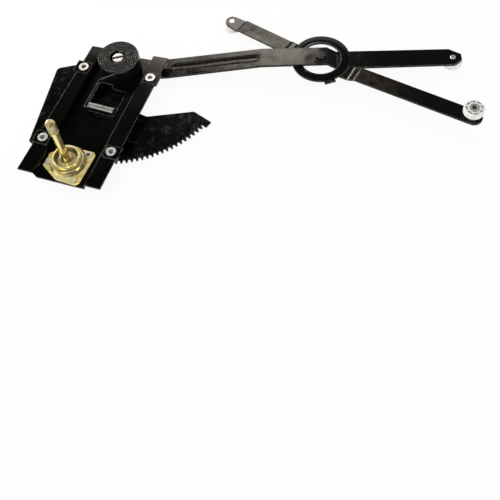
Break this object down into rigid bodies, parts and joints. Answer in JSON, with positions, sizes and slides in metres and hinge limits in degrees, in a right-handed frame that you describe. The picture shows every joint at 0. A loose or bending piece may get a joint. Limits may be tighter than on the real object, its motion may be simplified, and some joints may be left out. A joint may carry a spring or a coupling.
{
  "type": "window regulator",
  "caption": "Manual window regulator with a stamped base plate, crank drive and brake housing, toothed sector, spiral counterbalance spring and crossed arms with rollers.",
  "frame": {"origin": "crank axis at the level of the four nut faces that bolt against the door's inner panel", "axes": "+Z along the crank towards the cabin, +Y along the base plate from the crank to the sector's pivot, +X from the plate towards the rollers"},
  "size_m": [0.5533, 0.3399, 0.0936],
  "materials": {
    "black_paint": "gloss",
    "gold_zinc": "satin",
    "bright_zinc": "satin",
    "spring_steel": "satin",
    "bare_steel": "satin",
    "white_nylon": "satin"
  },
  "bodies": {
    "base": {"base_plate": "black_paint", "clinch_nuts": "bright_zinc", "pivot_bush": "bare_steel", "brake_housing": "gold_zinc", "housing_rivets": "gold_zinc", "housing_eyelet": "gold_zinc", "counterbalance_spring": "spring_steel"},
    "crank": {"crank_shaft": "gold_zinc", "brake_driver": "gold_zinc", "brake_spring": "spring_steel", "pinion": "bare_steel", "pinion_washer": "bare_steel"},
    "lift": {"lift_arm": "black_paint", "sector_gear": "black_paint", "sector_rivets": "bare_steel", "pivot_stud": "bright_zinc", "pivot_washer": "bright_zinc", "centre_pivot": "black_paint", "centre_washer": "black_paint", "stud_b": "bright_zinc"},
    "equalizer": {"equalizer_arm": "black_paint", "stud_a": "bright_zinc", "stud_c": "bright_zinc", "spacer_c": "bright_zinc"},
    "wheel_a": {"roller_a": "white_nylon"},
    "wheel_b": {"roller_b": "white_nylon"},
    "wheel_c": {"roller_c": "white_nylon"}
  },
  "joints": [
    {"name": "lift_hinge", "type": "hinge", "parent": "base", "child": "lift", "pos_m": [0, 0.15875, -0.0126], "axis": [0, 0, 1], "range_deg": [-56, 18], "deforming": ["counterbalance_spring"]},
    {"name": "crank_turn", "type": "hinge", "parent": "base", "child": "crank", "pos_m": [0, 0, 0], "axis": [0, 0, 1], "range_deg": [-252, 784]},
    {"name": "equalizer_hinge", "type": "hinge", "parent": "lift", "child": "equalizer", "pos_m": [0.25058, 0.24186, -0.00375], "axis": [0, 0, 1], "range_deg": [-41, 105]},
    {"name": "roller_a_spin", "type": "hinge", "parent": "equalizer", "child": "wheel_a", "pos_m": [0.11338, 0.27811, -0.01815], "axis": [0, 0, 1], "continuous": true},
    {"name": "roller_b_spin", "type": "hinge", "parent": "lift", "child": "wheel_b", "pos_m": [0.41089, 0.29504, -0.0136], "axis": [0, 0, 1], "continuous": true},
    {"name": "roller_c_spin", "type": "hinge", "parent": "equalizer", "child": "wheel_c", "pos_m": [0.45427, 0.20286, 0.01425], "axis": [0, 0, 1], "continuous": true}
  ],
  "couplings": [
    {"joint": "crank_turn", "follows": "lift_hinge", "ratio": -14}
  ]
}
